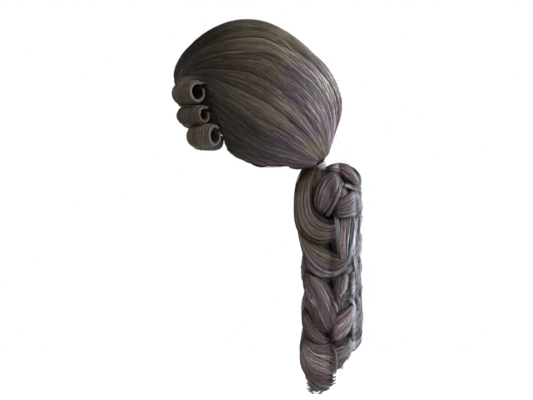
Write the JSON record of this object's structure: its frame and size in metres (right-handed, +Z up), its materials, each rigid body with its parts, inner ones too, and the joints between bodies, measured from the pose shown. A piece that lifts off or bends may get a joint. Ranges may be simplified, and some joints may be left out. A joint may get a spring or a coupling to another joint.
{
  "type": "wig",
  "caption": "Colonial gentleman's costume wig with a lace cap, swept-back grey hair, buckle rolls at the temples and a tied tail of ringlets",
  "frame": {"origin": "in the head opening on the centre plane, at about the height of the wearer's ears", "axes": "+Z up, -Y the way the face looks, +X the wearer's left"},
  "size_m": [0.1886, 0.2643, 0.5158],
  "materials": {
    "hair_taupe": "satin",
    "hair_mauve": "satin",
    "hair_silver": "satin",
    "cap_lace": "matte",
    "cap_tape": "matte",
    "weft_thread": "matte",
    "elastic": "matte",
    "stay_steel": "satin",
    "hook_plastic": "satin"
  },
  "bodies": {
    "cap": {"crown_net": "cap_lace", "front_band": "cap_tape", "ear_tab_left": "cap_lace", "ear_tab_right": "cap_lace", "ear_tab_stay_left": "stay_steel", "ear_tab_stay_right": "stay_steel", "side_band_left": "cap_tape", "side_band_right": "cap_tape", "nape_band": "cap_tape", "cap_ribbon_centre": "cap_tape", "cap_ribbon_left_inner": "cap_tape", "cap_ribbon_right_inner": "cap_tape", "cap_ribbon_left_outer": "cap_tape", "cap_ribbon_right_outer": "cap_tape", "weft_row_1": "weft_thread", "weft_row_2": "weft_thread", "weft_row_3": "weft_thread", "weft_row_4": "weft_thread", "weft_row_5": "weft_thread", "weft_row_6": "weft_thread", "weft_row_7": "weft_thread", "weft_row_8": "weft_thread", "loop_tape_left": "cap_tape", "loop_tape_right": "cap_tape", "adjuster_strap_left": "elastic", "adjuster_strap_right": "elastic", "hair_top": "hair_taupe", "hair_side_left": "hair_taupe", "hair_side_right": "hair_taupe", "hair_nape": "hair_mauve", "hair_gather": "hair_mauve", "tie_elastic": "elastic", "tie_wrap": "hair_mauve"},
    "roll_left_upper": {"roll_left_upper": "hair_taupe"},
    "roll_left_middle": {"roll_left_middle": "hair_taupe"},
    "roll_left_lower": {"roll_left_lower": "hair_taupe"},
    "roll_right_upper": {"roll_right_upper": "hair_taupe"},
    "roll_right_middle": {"roll_right_middle": "hair_taupe"},
    "roll_right_lower": {"roll_right_lower": "hair_taupe"},
    "tail_root": {"tail_root": "hair_mauve"},
    "tail": {"tail_core": "hair_silver"},
    "ringlet_front_left": {"ringlet_front_left": "hair_silver"},
    "ringlet_back_left": {"ringlet_back_left": "hair_silver"},
    "ringlet_front_right": {"ringlet_front_right": "hair_silver"},
    "ringlet_back_right": {"ringlet_back_right": "hair_silver"},
    "ringlet_back": {"ringlet_back": "hair_silver"},
    "adjuster_hook_left": {"adjuster_hook_left": "hook_plastic"},
    "adjuster_hook_right": {"adjuster_hook_right": "hook_plastic"}
  },
  "joints": [
    {"name": "roll_left_upper_swing", "type": "hinge", "parent": "cap", "child": "roll_left_upper", "pos_m": [0.05961, -0.0796, 0.01871], "axis": [-0.7885, -0.6146, -0.0232], "range_deg": [0, 10]},
    {"name": "roll_left_middle_swing", "type": "hinge", "parent": "cap", "child": "roll_left_middle", "pos_m": [0.06333, -0.07512, -0.01494], "axis": [-0.7126, -0.7015, -0.0067], "range_deg": [0, 10]},
    {"name": "roll_left_lower_swing", "type": "hinge", "parent": "cap", "child": "roll_left_lower", "pos_m": [0.06566, -0.06024, -0.04067], "axis": [-0.6292, -0.7772, -0.0074], "range_deg": [0, 4]},
    {"name": "roll_right_upper_swing", "type": "hinge", "parent": "cap", "child": "roll_right_upper", "pos_m": [-0.05961, -0.0796, 0.01871], "axis": [-0.7885, 0.6146, 0.0232], "range_deg": [0, 10]},
    {"name": "roll_right_middle_swing", "type": "hinge", "parent": "cap", "child": "roll_right_middle", "pos_m": [-0.06333, -0.07512, -0.01494], "axis": [-0.7126, 0.7015, 0.0067], "range_deg": [0, 10]},
    {"name": "roll_right_lower_swing", "type": "hinge", "parent": "cap", "child": "roll_right_lower", "pos_m": [-0.06566, -0.06024, -0.04067], "axis": [-0.6292, 0.7772, 0.0074], "range_deg": [0, 4]},
    {"name": "tail_sway", "type": "hinge", "parent": "cap", "child": "tail_root", "pos_m": [0.0002, 0.1016, -0.1008], "axis": [0, 1, 0], "range_deg": [-20, 20]},
    {"name": "tail_swing", "type": "hinge", "parent": "tail_root", "child": "tail", "pos_m": [0, 0.1066, -0.1134], "axis": [1, 0, 0], "range_deg": [-10, 27]},
    {"name": "ringlet_front_left_swing", "type": "hinge", "parent": "tail", "child": "ringlet_front_left", "pos_m": [0.00897, 0.09699, -0.1195], "axis": [-0.7418, -0.6707, 0], "range_deg": [0, 16]},
    {"name": "ringlet_back_left_swing", "type": "hinge", "parent": "tail", "child": "ringlet_back_left", "pos_m": [0.01161, 0.1119, -0.1195], "axis": [0.3799, -0.925, 0], "range_deg": [0, 16]},
    {"name": "ringlet_front_right_swing", "type": "hinge", "parent": "tail", "child": "ringlet_front_right", "pos_m": [-0.00813, 0.09657, -0.1195], "axis": [-0.7962, 0.6051, 0], "range_deg": [0, 16]},
    {"name": "ringlet_back_right_swing", "type": "hinge", "parent": "tail", "child": "ringlet_back_right", "pos_m": [-0.0138, 0.10959, -0.1195], "axis": [0.1816, 0.9834, 0], "range_deg": [0, 16]},
    {"name": "ringlet_back_swing", "type": "hinge", "parent": "tail", "child": "ringlet_back", "pos_m": [-0.001, 0.1176, -0.111], "axis": [1, 0, 0], "range_deg": [0, 16]},
    {"name": "adjuster_left_slide", "type": "slide", "parent": "cap", "child": "adjuster_hook_left", "axis": [-0.5477, 0.7863, -0.286], "range_m": [0, 0.008], "deforming": ["adjuster_strap_left"]},
    {"name": "adjuster_right_slide", "type": "slide", "parent": "cap", "child": "adjuster_hook_right", "axis": [0.5477, 0.7863, -0.286], "range_m": [0, 0.008], "deforming": ["adjuster_strap_right"]}
  ]
}
